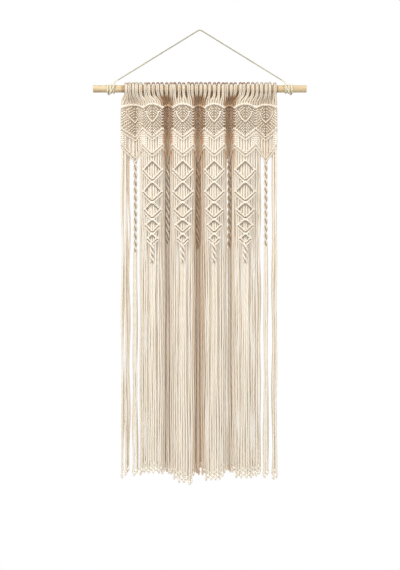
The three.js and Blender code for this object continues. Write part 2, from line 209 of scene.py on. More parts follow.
# The photograph's frame
IMAGE_WIDTH = 400
IMAGE_HEIGHT = 570
MM_PER_PIXEL = 3.0
ROD_PIXEL = (199.8, 88.9)
CAMERA_DISTANCE = 5.0
SENSOR = 36.0

# Studio, in metres
FLOOR = {"radius": 1.5, "height": -2.1}
AIM = (0, 0, -0.6)
DAYLIGHT = (1.0, 0.99, 0.98)
WARM_WHITE = (1.0, 0.98, 0.96)
AMBIENT = 0.47


# ---- Camera ----

def add_object(name, data):
    thing = bpy.data.objects.new(name, data)
    bpy.context.scene.collection.objects.link(thing)
    return thing


def make_camera():
    data = bpy.data.cameras.new("camera")
    camera = add_object("camera", data)
    across = (IMAGE_WIDTH / 2 - ROD_PIXEL[0]) * MM_PER_PIXEL
    down = (IMAGE_HEIGHT / 2 - ROD_PIXEL[1]) * MM_PER_PIXEL + ROD_DROP
    camera.location = (across * MM, -CAMERA_DISTANCE, -down * MM)
    camera.rotation_euler = (math.pi / 2, 0, 0)
    data.sensor_width = SENSOR
    data.lens = SENSOR * CAMERA_DISTANCE / (IMAGE_HEIGHT * MM_PER_PIXEL * MM)
    bpy.context.scene.camera = camera


make_camera()


# ---- Node maths ----

class Wire:
    """An output socket, so that maths on it is written as a Python expression."""

    def __init__(self, nodes, socket):
        self.nodes = nodes
        self.socket = socket

    def maths(self, operation, *values):
        return self.nodes.add("ShaderNodeMath", {"operation": operation}, dict(enumerate(values)))

    def __add__(self, other):
        return self.maths("ADD", self, other)

    def __radd__(self, other):
        return self.maths("ADD", other, self)

    def __sub__(self, other):
        return self.maths("SUBTRACT", self, other)

    def __rsub__(self, other):
        return self.maths("SUBTRACT", other, self)

    def __mul__(self, other):
        return self.maths("MULTIPLY", self, other)

    def __rmul__(self, other):
        return self.maths("MULTIPLY", other, self)

    def __gt__(self, other):
        return self.maths("GREATER_THAN", self, other)

    def sine(self):
        return self.maths("SINE", self)

    def between(self, low, high):
        """0 below low, 1 above high, and smooth between them."""
        settings = {"interpolation_type": "SMOOTHSTEP"}
        limits = {"From Min": low, "From Max": high}
        return self.nodes.add("ShaderNodeMapRange", settings, {"Value": self, **limits})

    def near_zero(self, near, far):
        """1 nearer to 0 than near on either side, 0 further off than far, and smooth between them."""
        return 1 - (self * self).between(near**2, far**2)

    def coordinate(self, axis):
        return self.nodes.add("ShaderNodeSeparateXYZ", sockets={"Vector": self}, output=axis)

    def mapped(self, **inputs):
        return self.nodes.add("ShaderNodeMapping", {"vector_type": "POINT"}, {"Vector": self, **inputs})

    def noise(self, **inputs):
        return self.nodes.add("ShaderNodeTexNoise", sockets={"Vector": self, **inputs})

    def beside(self, key):
        """Another output of the same node."""
        return Wire(self.nodes, Nodes.find(self.socket.node.outputs, key))


class Nodes:
    """Adds nodes to a tree, each from its type, its settings and what its sockets hold."""

    def __init__(self, tree):
        self.tree = tree
        tree.nodes.clear()

    def add(self, kind, settings=None, sockets=None, output=0):
        node = self.tree.nodes.new(kind)
        for name, value in (settings or {}).items():
            if name == "captures":
                for label in value:
                    node.capture_items.new("FLOAT", label)
            else:
                setattr(node, name, value)
        for key, value in (sockets or {}).items():
            self.fill(self.find(node.inputs, key), value)
        return Wire(self, self.find(node.outputs, output)) if node.outputs else None

    @staticmethod
    def find(sockets, key):
        if isinstance(key, int):
            return sockets[key]
        usable = [s for s in sockets if s.enabled]
        return next(s for s in usable if key in (s.identifier, s.name))

    def fill(self, socket, value):
        if isinstance(value, Wire):
            self.tree.links.new(value.socket, socket)
        else:
            socket.default_value = value

    def mix(self, factor, first, second, blend="MIX"):
        settings = {"data_type": "RGBA", "blend_type": blend}
        sockets = {"Factor_Float": factor, "A_Color": self.colour(first), "B_Color": self.colour(second)}
        return self.add("ShaderNodeMix", settings, sockets, "Result_Color")

    @staticmethod
    def colour(value):
        return value if isinstance(value, Wire) else (*value, 1.0)


def new_material(name):
    material = bpy.data.materials.new(name)
    material.use_nodes = True
    return material, Nodes(material.node_tree)


def finish_material(nodes, **inputs):
    """Puts the inputs in the surface shader. Their names have _ for each space."""
    sockets = {label.replace("_", " "): value for label, value in inputs.items()}
    shader = nodes.add("ShaderNodeBsdfPrincipled", sockets=sockets)
    nodes.add("ShaderNodeOutputMaterial", sockets={"Surface": shader})


# ---- Materials ----

def cord_material(name, light, groove, bump, deep=FOLD_SHADE_TONE, lay=COTTON_LAY):
    """Twisted cord: plies that wind round it, fine fibres along them, and painted shade in the folds."""
    material, nodes = new_material(name)
    along = nodes.add("ShaderNodeUVMap", {"uv_map": UV_NAME}).coordinate("X")
    around = along.beside("Y")
    place = nodes.add("ShaderNodeTexCoord", output="Object")
    sideways = place.coordinate("X")
    depth = sideways.beside("Y")
    height = sideways.beside("Z")
    backward = nodes.add("ShaderNodeTexCoord", output="Normal").coordinate("Y")

    # Painted shade in the folds, only on faces that look forward, weakest in the open outer folds and
    # fading down the fringe
    behind = depth.between(*SHADE_DEPTH) * (1 - depth.between(*EASED_DEPTH) * 0.45)
    closed = sideways.near_zero(*OUTER_FOLDS) * 0.85 + 0.15
    facing = 1 - backward.between(-0.3, 0.5)
    high = height.between(*FRINGE_FADE) * 0.8 + 0.2
    lasting = high + (1 - high) * sideways.near_zero(*MIDDLE_FOLD) * 0.45
    fold_shade = behind * closed * facing * lasting

    winding = around * PLIES + along * (1 / lay)
    ply = (winding * (2 * math.pi)).sine() * 0.5 + 0.5
    uneven = place.mapped(Scale=(75, 75, 4)).noise(Scale=1.0, Detail=2.0)
    fuzz = place.noise(Scale=900.0, Detail=2.0)

    twisted = nodes.mix(ply.between(0.0, 0.55), groove, light)
    toned = nodes.mix((1 - uneven.between(0.35, 0.7)) * 0.4, twisted, groove)
    shaded = nodes.mix(fold_shade, toned, deep, "MULTIPLY")
    # Painted cool shade in the folds of the knotted band
    colour = nodes.mix(fold_shade * height.between(*BAND_FADE) * 0.5, shaded, BAND_SHADE_TONE, "MULTIPLY")
    relief = ply.between(0.0, 0.8) + fuzz * 0.35
    normal = nodes.add("ShaderNodeBump", sockets={"Strength": bump, "Distance": 0.0006, "Height": relief})
    finish_material(nodes, Base_Color=colour, Roughness=fuzz * 0.12 + 0.84, Normal=normal,
                    Sheen_Weight=0.25, Sheen_Roughness=0.5, Specular_IOR_Level=0.2)
    return material


def wood_material():
    """Plain sanded dowel: grain along the rod, and painted shade where the loops cover it."""
    material, nodes = new_material("sanded_dowel_wood")
    centred = nodes.add("ShaderNodeTexCoord", output="Object").mapped(Location=(0, 0, ROD_DROP * MM))
    grain = centred.mapped(Scale=(5, 170, 170)).noise(Scale=1.0, Detail=5.0, Distortion=0.6)
    flecks = centred.mapped(Scale=(60, 1500, 1500)).noise(Scale=1.0, Detail=1.0)
    broad = centred.noise(Scale=9.0, Detail=1.0)
    # Painted shade on the rod under and between the loops
    loop_shade = centred.coordinate("X").near_zero(*LOOP_SHADED_ROD)
    grained = nodes.mix(grain.between(0.36, 0.66), (0.49, 0.37, 0.21), (0.58, 0.47, 0.30))
    flecked = nodes.mix(flecks.between(0.62, 0.8) * 0.4, grained, (0.5, 0.35, 0.19))
    toned = nodes.mix(broad.between(0.4, 0.7) * 0.3, flecked, (0.60, 0.50, 0.34))
    colour = nodes.mix(loop_shade * 0.8, toned, (0.60, 0.50, 0.38), "MULTIPLY")
    relief = grain + flecks * 0.5
    normal = nodes.add("ShaderNodeBump", sockets={"Strength": 0.25, "Distance": 0.0003, "Height": relief})
    finish_material(nodes, Base_Color=colour, Roughness=grain * 0.2 + 0.45, Normal=normal,
                    Specular_IOR_Level=0.35)
    return material


def floor_material():
    material, nodes = new_material("pale_floor")
    mottle = nodes.add("ShaderNodeTexCoord", output="Object").noise(Scale=3.0, Detail=3.0)
    colour = nodes.mix(mottle, (0.78, 0.77, 0.75), (0.82, 0.81, 0.79))
    finish_material(nodes, Base_Color=colour, Roughness=0.8)
    return material


COTTON = cord_material(
    "twisted_cotton_cord", light=(0.81, 0.76, 0.66), groove=(0.68, 0.61, 0.50), bump=0.7)
# The knots: the same cotton painted lighter, as painted light where they stand forward
LIT_KNOT_COTTON = cord_material(
    "cotton_knots_painted_lighter_as_lit", light=(0.92, 0.87, 0.78), groove=(0.79, 0.72, 0.61), bump=0.6)
# The strands and legs behind: the same cotton painted darker, as painted shade
BACK_SHADE_COTTON = cord_material(
    "cotton_of_the_back_strands_painted_in_shade", light=(0.72, 0.63, 0.51), groove=(0.60, 0.51, 0.40), bump=0.6)
# The loops on the rod: the same cotton painted darker, as painted shade
LOOP_SHADE_COTTON = cord_material(
    "cotton_loops_on_the_rod_painted_in_shade", light=(0.72, 0.65, 0.54), groove=(0.58, 0.50, 0.39), bump=0.7)
# The cords seen between the knots: the same cotton painted darker, as painted shade
SHADED_COTTON = cord_material(
    "cotton_painted_in_shade_between_the_knots", light=(0.58, 0.49, 0.38), groove=(0.46, 0.38, 0.28), bump=0.5)
# The cords between the leaf ribs and the cores of the twists: the same cotton painted in deep shade
DEEP_SHADE_COTTON = cord_material(
    "cotton_painted_in_deep_shade_between_the_leaf_ribs", light=(0.40, 0.32, 0.23), groove=(0.32, 0.25, 0.17), bump=0.5)
# Knots deep in the folds: the same cotton painted browner, as painted shade
FOLD_SHADE_KNOT_COTTON = cord_material(
    "cotton_knots_painted_in_fold_shade", light=(0.78, 0.63, 0.47), groove=(0.58, 0.45, 0.32), bump=0.5)
TWINE = cord_material(
    "thin_hanging_twine", light=(0.54, 0.52, 0.40), groove=(0.36, 0.34, 0.24), bump=0.7,
    deep=UNSHADED, lay=TWINE_LAY)
PALE_TWINE = cord_material(
    "twine_wound_round_the_rod", light=(0.80, 0.76, 0.60), groove=(0.54, 0.49, 0.35), bump=0.7,
    deep=UNSHADED, lay=TWINE_LAY)
WOOD = wood_material()


# ---- Cords and turns of cord ----

def join_seam(nodes, share):
    """A share that runs once round a closed line is 1, and not 0, where its last face ends."""
    settings = {"domain": "FACE", "data_type": "FLOAT"}
    middle_of_face = nodes.add("GeometryNodeFieldOnDomain", settings, {0: share})
    return share + ((middle_of_face - share) > SEAM_STEP)


def circle(nodes, points, radius):
    sockets = {"Resolution": points, "Radius": radius}
    return nodes.add("GeometryNodeCurvePrimitiveCircle", {"mode": "RADIUS"}, sockets)


def capture(nodes, geometry, label, value):
    """Keeps a value with a line, so that the mesh swept from it has the value too."""
    settings = {"captures": [label], "domain": "POINT"}
    kept = nodes.add("GeometryNodeCaptureAttribute", settings, {"Geometry": geometry, 1: value})
    return kept, kept.beside(1)


def tube(nodes, line, along, thickness, sides, capped):
    """A round section swept along a line, with how far along and around it each place is."""
    ring = circle(nodes, sides, 1.0)
    share = nodes.add("GeometryNodeSplineParameter", output="Factor")
    section, around = capture(nodes, ring, "around", share)
    path, run = capture(nodes, line, "along", along)
    mesh = nodes.add("GeometryNodeCurveToMesh", sockets={
        "Curve": path,
        "Profile Curve": section,
        "Scale": thickness,
        "Fill Caps": capped,
    })
    return mesh, run, join_seam(nodes, around)


def store_uv(nodes, mesh, run, around):
    place = nodes.add("ShaderNodeCombineXYZ", sockets={"X": run, "Y": around})
    settings = {"data_type": "FLOAT2", "domain": "CORNER"}
    sockets = {"Geometry": mesh, "Name": UV_NAME, "Value": place}
    return nodes.add("GeometryNodeStoreNamedAttribute", settings, sockets)


def finish_tree(nodes, geometry, material):
    smooth = nodes.add("GeometryNodeSetShadeSmooth", {"domain": "FACE"}, {"Geometry": geometry})
    real = nodes.add("GeometryNodeRealizeInstances", sockets={"Geometry": smooth})
    coated = nodes.add("GeometryNodeSetMaterial", sockets={"Geometry": real, "Material": material})
    nodes.add("NodeGroupOutput", sockets={"Geometry": coated})


def new_tree(name, inputs):
    """A geometry tree with named inputs, and a function that gives each input as a wire."""
    tree = bpy.data.node_groups.new(name, "GeometryNodeTree")
    tree.interface.new_socket("Geometry", in_out="INPUT", socket_type="NodeSocketGeometry")
    for label, kind in inputs.items():
        tree.interface.new_socket(label, in_out="INPUT", socket_type=kind)
    tree.interface.new_socket("Geometry", in_out="OUTPUT", socket_type="NodeSocketGeometry")
    nodes = Nodes(tree)
    return tree, nodes, nodes.add("NodeGroupInput").beside


def cords_tree():
    """Every line becomes a cord as thick as the line's own radius."""
    tree, nodes, given = new_tree("cords_along_lines", {
        "Cord sides": "NodeSocketInt",
        "Finish": "NodeSocketMaterial",
    })
    along = nodes.add("GeometryNodeSplineParameter", output="Length")
    thickness = nodes.add("GeometryNodeInputRadius")
    mesh, run, around = tube(nodes, given("Geometry"), along, thickness, given("Cord sides"), True)
    finish_tree(nodes, store_uv(nodes, mesh, run, around), given("Finish"))
    return tree


def turns_tree():
    """A turn of cord stands at every point, turned and sized as the point says."""
    tree, nodes, given = new_tree("turns_of_cord_at_points", {
        "Turn radius": "NodeSocketFloat",
        "Cord radius": "NodeSocketFloat",
        "Turn points": "NodeSocketInt",
        "Cord sides": "NodeSocketInt",
        "Finish": "NodeSocketMaterial",
    })
    line = circle(nodes, given("Turn points"), given("Turn radius"))
    share = nodes.add("GeometryNodeSplineParameter", output="Factor")
    mesh, run, around = tube(nodes, line, share, given("Cord radius"), given("Cord sides"), False)
    length = given("Turn radius") * (2 * math.pi)
    turn = store_uv(nodes, mesh, join_seam(nodes, run) * length, around)
    vector = {"data_type": "FLOAT_VECTOR"}
    placed = nodes.add("GeometryNodeInstanceOnPoints", sockets={
        "Points": given("Geometry"),
        "Instance": turn,
        "Rotation": nodes.add("GeometryNodeInputNamedAttribute", vector, {"Name": "facing"}),
        "Scale": nodes.add("GeometryNodeInputNamedAttribute", vector, {"Name": "size"}),
    })
    finish_tree(nodes, placed, given("Finish"))
    return tree


CORDS_TREE = cords_tree()
TURNS_TREE = turns_tree()


def grow(name, data, tree, inputs):
    """The plain mesh that a geometry tree makes from new data."""
    source = add_object(name, data)
    modifier = source.modifiers.new(tree.name, "NODES")
    modifier.node_group = tree
    for item in tree.interface.items_tree:
        if item.in_out == "INPUT" and item.name in inputs:
            modifier[item.identifier] = inputs[item.name]
    evaluated = source.evaluated_get(bpy.context.evaluated_depsgraph_get())
    mesh = bpy.data.meshes.new_from_object(evaluated)
    source.modifiers.remove(modifier)
    bpy.data.objects.remove(source)
    return mesh


def make_piece(name, mesh, nodes):
    piece = add_object(name, mesh)
    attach(piece, "root")
    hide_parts(*nodes)
    return piece


class Knotwork:
    """Collects the cords and the turns of cord of one piece, and then makes it."""

    def __init__(self, sides=6):
        self.sides = sides
        self.lines = []
        self.turns = []

    def cord(self, points, radius):
        """A cord through points in metres. radius is in millimetres, for all points or one for each."""
        self.lines.append((np.asarray(points, float), np.broadcast_to(radius, len(points)) * MM))

    def hung_cord(self, across, back, drop, radius):
        self.cord(hang(across, back, drop), radius)

    def turn(self, centre, side, back, axis, size):
        """A turn of cord round an axis. size is its share of a plain one, sideways, through and along."""
        self.turns.append((centre, Matrix((side, back, axis)).transposed().to_euler(), size))

    def piece(self, name, nodes, finish, knot_finish=None, slot="cotton"):
        """The piece that stands for nodes of the solid model."""
        return make_piece(name, self.mesh(name, finish, knot_finish or finish), nodes)

    def mesh(self, name, finish, knot_finish):
        parts = []
        if self.lines:
            cords = grow(name, self.curve(name), CORDS_TREE, {"Cord sides": self.sides, "Finish": finish})
            parts.append((cords, finish))
        if self.turns:
            turns = grow(name, self.points(name), TURNS_TREE, {
                "Turn radius": TURN_RADIUS * MM,
                "Cord radius": TURN_CORD_RADIUS * MM,
                "Turn points": TURN_POINTS,
                "Cord sides": TURN_SIDES,
                "Finish": knot_finish,
            })
            parts.append((turns, knot_finish))
        joined = bpy.data.meshes.new(name)
        whole = bmesh.new()
        for index, (part, its_finish) in enumerate(parts):
            part.polygons.foreach_set("material_index", [index] * len(part.polygons))
            whole.from_mesh(part)
            joined.materials.append(its_finish)
        whole.to_mesh(joined)
        whole.free()
        return joined

    def curve(self, name):
        data = bpy.data.curves.new(name, "CURVE")
        data.dimensions = "3D"
        for points, radius in self.lines:
            spline = data.splines.new("POLY")
            spline.points.add(len(points) - 1)
            spline.points.foreach_set("co", np.column_stack([points, np.ones(len(points))]).ravel())
            spline.points.foreach_set("radius", radius)
        return data

    def points(self, name):
        data = bpy.data.meshes.new(name)
        data.from_pydata([centre for centre, _, _ in self.turns], [], [])
        for label, column in (("facing", 1), ("size", 2)):
            attribute = data.attributes.new(label, "FLOAT_VECTOR", "POINT")
            rows = np.array([tuple(turn[column]) for turn in self.turns])
            attribute.data.foreach_set("vector", rows.ravel())
        return data


# ---- Folds of the cloth ----

def smoothstep(value, low, high):
    share = np.clip((value - low) / (high - low), 0, 1)
    return share * share * (3 - 2 * share)


def on_spline(f, before, here, after, beyond):
    """The place on a Catmull-Rom line, a share f of the way from here to after."""
    return ((-f + 2 * f**2 - f**3) * before + (2 - 5 * f**2 + 3 * f**3) * here
            + (f + 4 * f**2 - 3 * f**3) * after + (-f**2 + f**3) * beyond) / 2


def smooth_line(points, per_gap):
    """A Catmull-Rom line through the points."""
    points = np.asarray(points, float)
    ends = np.vstack([2 * points[0] - points[1], points, 2 * points[-1] - points[-2]])
    rows = [on_spline(f, *ends[i - 1:i + 3])
            for i in range(1, len(ends) - 2) for f in np.arange(per_gap) / per_gap]
    return np.array([*rows, points[-1]])


def fold_at(across):
    """The spline through the folds: place along the rod, and depth behind it."""
    station = np.clip(np.asarray(across, float) / MOTIF_WIDTH * 2, 0, len(FOLDS) - 1)
    first = np.minimum(station.astype(int), len(FOLDS) - 2)
    place = on_spline((station - first)[..., None],
                      *(FOLDS[np.clip(first + k, 0, len(FOLDS) - 1)] for k in (-1, 0, 1, 2)))
    return place[..., 0], place[..., 1]


def fold_direction(across):
    """Unit direction across the cloth at a place, as its run along the rod and its rise to the back."""
    inside = np.clip(across, 0, CLOTH_WIDTH)
    along_after, depth_after = fold_at(np.minimum(inside + 1, CLOTH_WIDTH))
    along_before, depth_before = fold_at(np.maximum(inside - 1, 0))
    run, rise = along_after - along_before, depth_after - depth_before
    length = np.hypot(run, rise)
    return run / length, rise / length


def hang(across, back, drop):
    """Hangs places of the flat cloth in its folds. Millimetres in, metres out, one row for each place."""
    across, back, drop = np.broadcast_arrays(*(np.asarray(v, float) for v in (across, back, drop)))
    gather = smoothstep(drop, *GATHER)
    inside = np.clip(across, 0, CLOTH_WIDTH)
    beyond = across - inside
    along, depth = fold_at(inside)
    run, rise = fold_direction(inside)
    straight = FOLDS[0, 0] + inside / CLOTH_WIDTH * (FOLDS[-1, 0] - FOLDS[0, 0])
    x = straight + (along - straight) * gather + beyond * run - back * rise * gather
    y = depth * gather + beyond * rise * gather + back * (1 + (run - 1) * gather)
    return np.stack([x, y, -drop - ROD_DROP], axis=-1) * MM


def middle_of(motif):
    return (motif + 0.5) * MOTIF_WIDTH


def place_in_motif(across):
    """-1 at the left side of a motif, 0 at its middle and 1 at its right side."""
    motif = np.clip(np.floor(np.asarray(across, float) / MOTIF_WIDTH), 0, MOTIFS - 1)
    return 2 * (across / MOTIF_WIDTH - motif) - 1


def has_spiral(motif):
    return motif % 2 == 0


def top_bar_drop(across):
    return TOP_BAR["drop"] + TOP_BAR["arch"] * place_in_motif(across) ** 2


def panel_edge_drop(across):
    place = place_in_motif(across)
    return PANEL_EDGE["middle"] + (PANEL_EDGE["side"] - PANEL_EDGE["middle"]) * abs(place)


def v_bar_drop(across, motif):
    middle = V_BAR["middle_spiral"] if has_spiral(motif) else V_BAR["middle_diamonds"]
    return middle + (V_BAR["side"] - middle) * abs(across - middle_of(motif)) / MOTIF_WIDTH * 2


def half_bar(motif, side):
    """Places across one half of a motif, from its middle to its side."""
    return middle_of(motif) + side * np.linspace(0.02, 1, BAR_POINTS) * HALF_MOTIF


def whole_row():
    """Places across the whole cloth."""
    return np.linspace(1, CLOTH_WIDTH - 1, ROW_POINTS)


def hem_drop(across):
    motif = int(np.clip(across // MOTIF_WIDTH, 0, MOTIFS - 1))
    left, right = HEM[motif]
    return left + (right - left) * (place_in_motif(across) + 1) / 2


# ---- Knots and strands ----

def tie_knots(work, line, inward, kind, side=1):
    """Half hitches along a line in metres, two to each cord. inward points into the cloth."""
    lengths = np.concatenate([[0], np.cumsum(np.linalg.norm(np.diff(line, axis=0), axis=1))])
    count = 2 * max(1, round(lengths[-1] / MM / kind["pitch"] / 2))
    closer = kind.get("pairing", 0) * np.where(np.arange(count) % 2 == 0, 1, -1)
    places = (np.arange(count) + 0.5 + closer) / count * lengths[-1]

    def at(rows, shift=0.0):
        return np.stack([np.interp(places + shift * MM, lengths, column) for column in rows.T], axis=-1)

    for centre, ahead, behind in zip(at(line), at(line, 0.4) - at(line, -0.4), at(inward)):
        behind = Vector(behind).normalized()
        lean = kind["lean"] * side + LUCK.normal(0, KNOT_LUCK)
        axis = Matrix.Rotation(lean, 3, behind) @ Vector(ahead).normalized()
        sideways = behind.cross(axis).normalized()
        work.turn(centre, sideways, axis.cross(sideways), axis, kind["size"])


def tie_bar(work, across, drop, back, kind, side=1):
    """Half hitches along a line on the cloth, over a hidden cord unless they are loose."""
    run, rise = fold_direction(across)
    line = hang(across, back, drop)
    tie_knots(work, line, np.stack([-rise, run, 0 * run], axis=-1), kind, side)
    if not kind.get("loose"):
        work.cord(line, HIDDEN_CORD_RADIUS)


def tie_column(work, cores, across, column, top, foot):
    """Half knots whose two rows of loops wind round their core like the threads of a screw."""
    run, rise = (float(v) for v in fold_direction(across))
    drops = np.linspace(top, foot, round((foot - top) / COLUMN_STEP))
    bulge = smoothstep(drops, top, top + BULGE_FADE) * (1 - smoothstep(drops, foot - BULGE_FADE, foot))
    core = hang(across, column["forward"] + column["bulge"] * bulge, drops)
    cores.cord(core, column["core"])
    for first in (0, math.pi):
        angle = first + (drops - top) / column["half_turn"] * math.pi
        outward = np.stack([run * np.cos(angle) - rise * np.sin(angle),
                            rise * np.cos(angle) + run * np.sin(angle), 0 * angle], axis=-1)
        tie_knots(work, core + outward * column["reach"] * MM, -outward, column)


def tie_end_knot(work, across, back, drop):
    """An overhand knot at the end of a strand."""
    run, rise = (float(v) for v in fold_direction(across))
    cloth = Vector((run, rise, 0))
    behind = Vector((-rise, run, 0))
    up = Vector((0, 0, 1))
    for lean, shift in END_KNOT["turns"]:
        leaning = Matrix.Rotation(lean + LUCK.normal(0, END_KNOT["luck"]), 3, behind)
        centre = hang(across, back, drop + shift)
        work.turn(centre, leaning @ cloth, behind, leaning @ up, END_KNOT["size"])


def strand(work, top, foot, drop_top, drop_foot, back_top=0.0, back_foot=0.0, knotted=True,
           thickness=STRAND_RADIUS):
    """A strand that hangs a little unevenly, with its knot and a short tail at the end."""
    length = drop_foot - drop_top
    steps = max(3, round(length / SWAY["step"]))
    share = np.linspace(0, 1, steps + 1)
    free = np.minimum(share * length / SWAY["full_after"], 1)
    starts = LUCK.uniform(0, 2 * math.pi, 4)
    waves = LUCK.uniform(*SWAY["waves"], 4)
    drops = drop_top + share * length
    slow = SWAY["slow"] * np.sin(drops / waves[0] * 2 * math.pi + starts[0])
    quick = SWAY["quick"] * np.sin(drops / waves[1] * 6 + starts[1])
    swing = np.sin(drops / waves[2] * 2 * math.pi + starts[2])
    across = top + (foot - top) * share + (slow + quick) * free
    back = back_top + (back_foot - back_top) * share + swing * free
    radius = np.full(steps + 1, thickness)
    if knotted:
        across = np.append(across, across[-1] + [TAIL["aside"], LUCK.normal(0, TAIL["luck"])])
        back = np.append(back, [back[-1], back[-1]])
        drops = np.append(drops, drops[-1] + [TAIL["knot"], TAIL["end"]])
        radius = np.append(radius, thickness * np.array(TAIL["thickness"]))
        tie_end_knot(work, across[steps], back[steps], drops[steps])
    work.hung_cord(across, back, drops, radius)


def bundle(work, across, column_foot, strands, foot_back=0.0):
    """The strands that leave a column of knots and spread a little on their way to the hem."""
    for top, foot, back_top, back_foot, rise in strands:
        strand(work, across + top, across + foot, column_foot - BUNDLE_OVERLAP, hem_drop(across) - rise,
               back_top, back_foot + foot_back)


# ---- Rod, hanging cord and hitches ----

def make_rod():
    """A round dowel with its sharp edges sanded off, and flat sawn ends."""
    around = ROD_SIDES
    half = ROD_HALF_LENGTH
    profile = [(inward - half, ROD_RADIUS - worn) for inward, worn in SANDED_EDGE]
    profile += [(x, ROD_RADIUS) for x in np.linspace(20 - half, half - 20, 33)]
    profile += [(-x, radius) for x, radius in profile[len(SANDED_EDGE) - 1::-1]]
    angles = np.arange(around) / around * 2 * math.pi
    points = [(x * MM, radius * math.sin(a) * MM, (radius * math.cos(a) - ROD_DROP) * MM)
              for x, radius in profile for a in angles]
    faces = [tuple(reversed(range(around))), tuple(range(len(points) - around, len(points)))]
    for ring in range(len(profile) - 1):
        for k in range(around):
            low, next_low = ring * around + k, ring * around + (k + 1) % around
            faces.append((low, next_low, next_low + around, low + around))
    mesh = bpy.data.meshes.new("dowel")
    mesh.from_pydata(points, [], faces)
    whole = bmesh.new()
    whole.from_mesh(mesh)
    bmesh.ops.recalc_face_normals(whole, faces=whole.faces)
    whole.to_mesh(mesh)
    whole.free()
    mesh.polygons.foreach_set("use_smooth", [len(p.vertices) == 4 for p in mesh.polygons])
    mesh.materials.append(WOOD)
    make_piece("dowel", mesh, ["rod"])


def make_hanging_cord():
    route = smooth_line([(x * MM, 0, z * MM) for x, z in TWINE_ROUTE], 4)
    work = Knotwork(sides=TWINE_SIDES)
    work.cord(route, TWINE_RADIUS)
    piece = work.piece("hanging_twine", ["hanging_cord"], TWINE, slot="twine")


def make_hitch(side):
    """The cord crosses the front of the rod and winds back under itself in three turns."""
    mirror = -1 if side == "right" else 1
    inner = ROD_RADIUS + TWINE_RADIUS + HITCH["play"]
    outer = inner + 2 * TWINE_RADIUS
    points = list(HITCH_START)
    for degrees in range(HITCH["from"], HITCH["to"] + 1, HITCH["step"]):
        crossing = np.interp(degrees, *HITCH_PLACES)
        reach = np.interp(degrees, [HITCH["outside_to"], HITCH["inside_from"]], [outer, inner])
        angle = math.radians(degrees)
        lean = HITCH["lean"] * (math.cos(angle) - math.cos(math.radians(HITCH["from"])))
        points.append((crossing + lean, -reach * math.sin(angle), reach * math.cos(angle) - ROD_DROP))
    line = smooth_line([(x * mirror * MM, y * MM, z * MM) for x, y, z in points], 2)
    work = Knotwork(sides=TWINE_SIDES)
    work.cord(line, np.interp(np.arange(len(line)), [0, 8], [TWINE_RADIUS, HITCH["radius"]]))
    work.piece(f"twine_hitch_{side}", [f"hitch_{side}"], PALE_TWINE, slot="twine")


# ---- Heading ----

def place_on_rod(across):
    """Where a loop sits on the rod: the first few stand closer together than the cords below them."""
    return across + ROD_PULL["most"] * max(0.0, 1 - across / ROD_PULL["reach"]) ** 2


def tie_larks_head(work, middle):
    """Two legs that pass up the front of the rod, over it and down its back, and the bight on top."""
    slant = LUCK.normal(0, LOOP_LUCK["slant"])
    most = LOOP_LUCK["most_shift"]
    head = place_on_rod(middle) + float(np.clip(LUCK.normal(0, LOOP_LUCK["shift"]), -most, most))
    apart = CORD_RADIUS + LUCK.uniform(*LOOP_LUCK["gap"])
    reach = ROD_RADIUS + CORD_RADIUS + LUCK.uniform(*LOOP_LUCK["lift"])
    share_up = np.array(LEG["share_up"])
    legs = []
    for side in (-1, 1):
        foot = middle + side * CORD_PITCH / 2
        neck = head + side * apart
        leg = list(hang(foot * (1 - share_up) + neck * share_up, LEG["back"],
                        [top_bar_drop(foot), *LEG["drops"]]))
        for degrees in LOOP_DEGREES:
            angle = math.radians(degrees)
            lean = slant * (degrees - LOOP_DEGREES[0]) / (LOOP_DEGREES[-1] - LOOP_DEGREES[0])
            leg.append(hang(neck + lean, -reach * math.sin(angle), reach * math.cos(angle)))
        leg.append(hang(head + side * LOOP_JOIN["apart"] + slant, LOOP_JOIN["back"], LOOP_JOIN["drop"]))
        legs.append(leg)
    radius = CORD_RADIUS * LUCK.uniform(*LOOP_LUCK["thickness"])
    work.cord(smooth_line(legs[0] + legs[1][::-1], 1), radius)
    lean = LUCK.normal(0, LOOP_LUCK["lean"])
    outside = reach + CORD_RADIUS * 2
    bight = [hang(head + sideways, back - lean * math.copysign(1, sideways), -outside * high)
             for sideways, back, high in BIGHT]
    work.cord(smooth_line(bight, 2), CORD_RADIUS)


def make_heading():
    """Lark's heads over the rod, their legs, and the first row of knots."""
    work = Knotwork()
    for loop in range(MOTIFS * CORDS_PER_MOTIF // 2):
        tie_larks_head(work, (loop + 0.5) * 2 * CORD_PITCH)
    across = whole_row()
    tie_bar(work, across, top_bar_drop(across), TOP_BAR["forward"], TOP_KNOTS)
    work.piece("larks_heads", ["heading"], LOOP_SHADE_COTTON, LIT_KNOT_COTTON)


def make_legs_behind():
    """The legs that come down behind the rod and close the gaps between the front ones."""
    work = Knotwork()
    share_up = np.array(LEG_BEHIND["share_up"])
    for across in np.arange(LEG_BEHIND["pitch"], CLOTH_WIDTH, LEG_BEHIND["pitch"]):
        work.hung_cord(across * (1 - share_up) + place_on_rod(across) * share_up, LEG_BEHIND["back"],
                       LEG_BEHIND["drops"], LEG_BEHIND["radius"])
    # Painted shade: the legs behind take the darker cotton
    work.piece("legs_behind", ["heading"], BACK_SHADE_COTTON)


# ---- Leaf panels ----

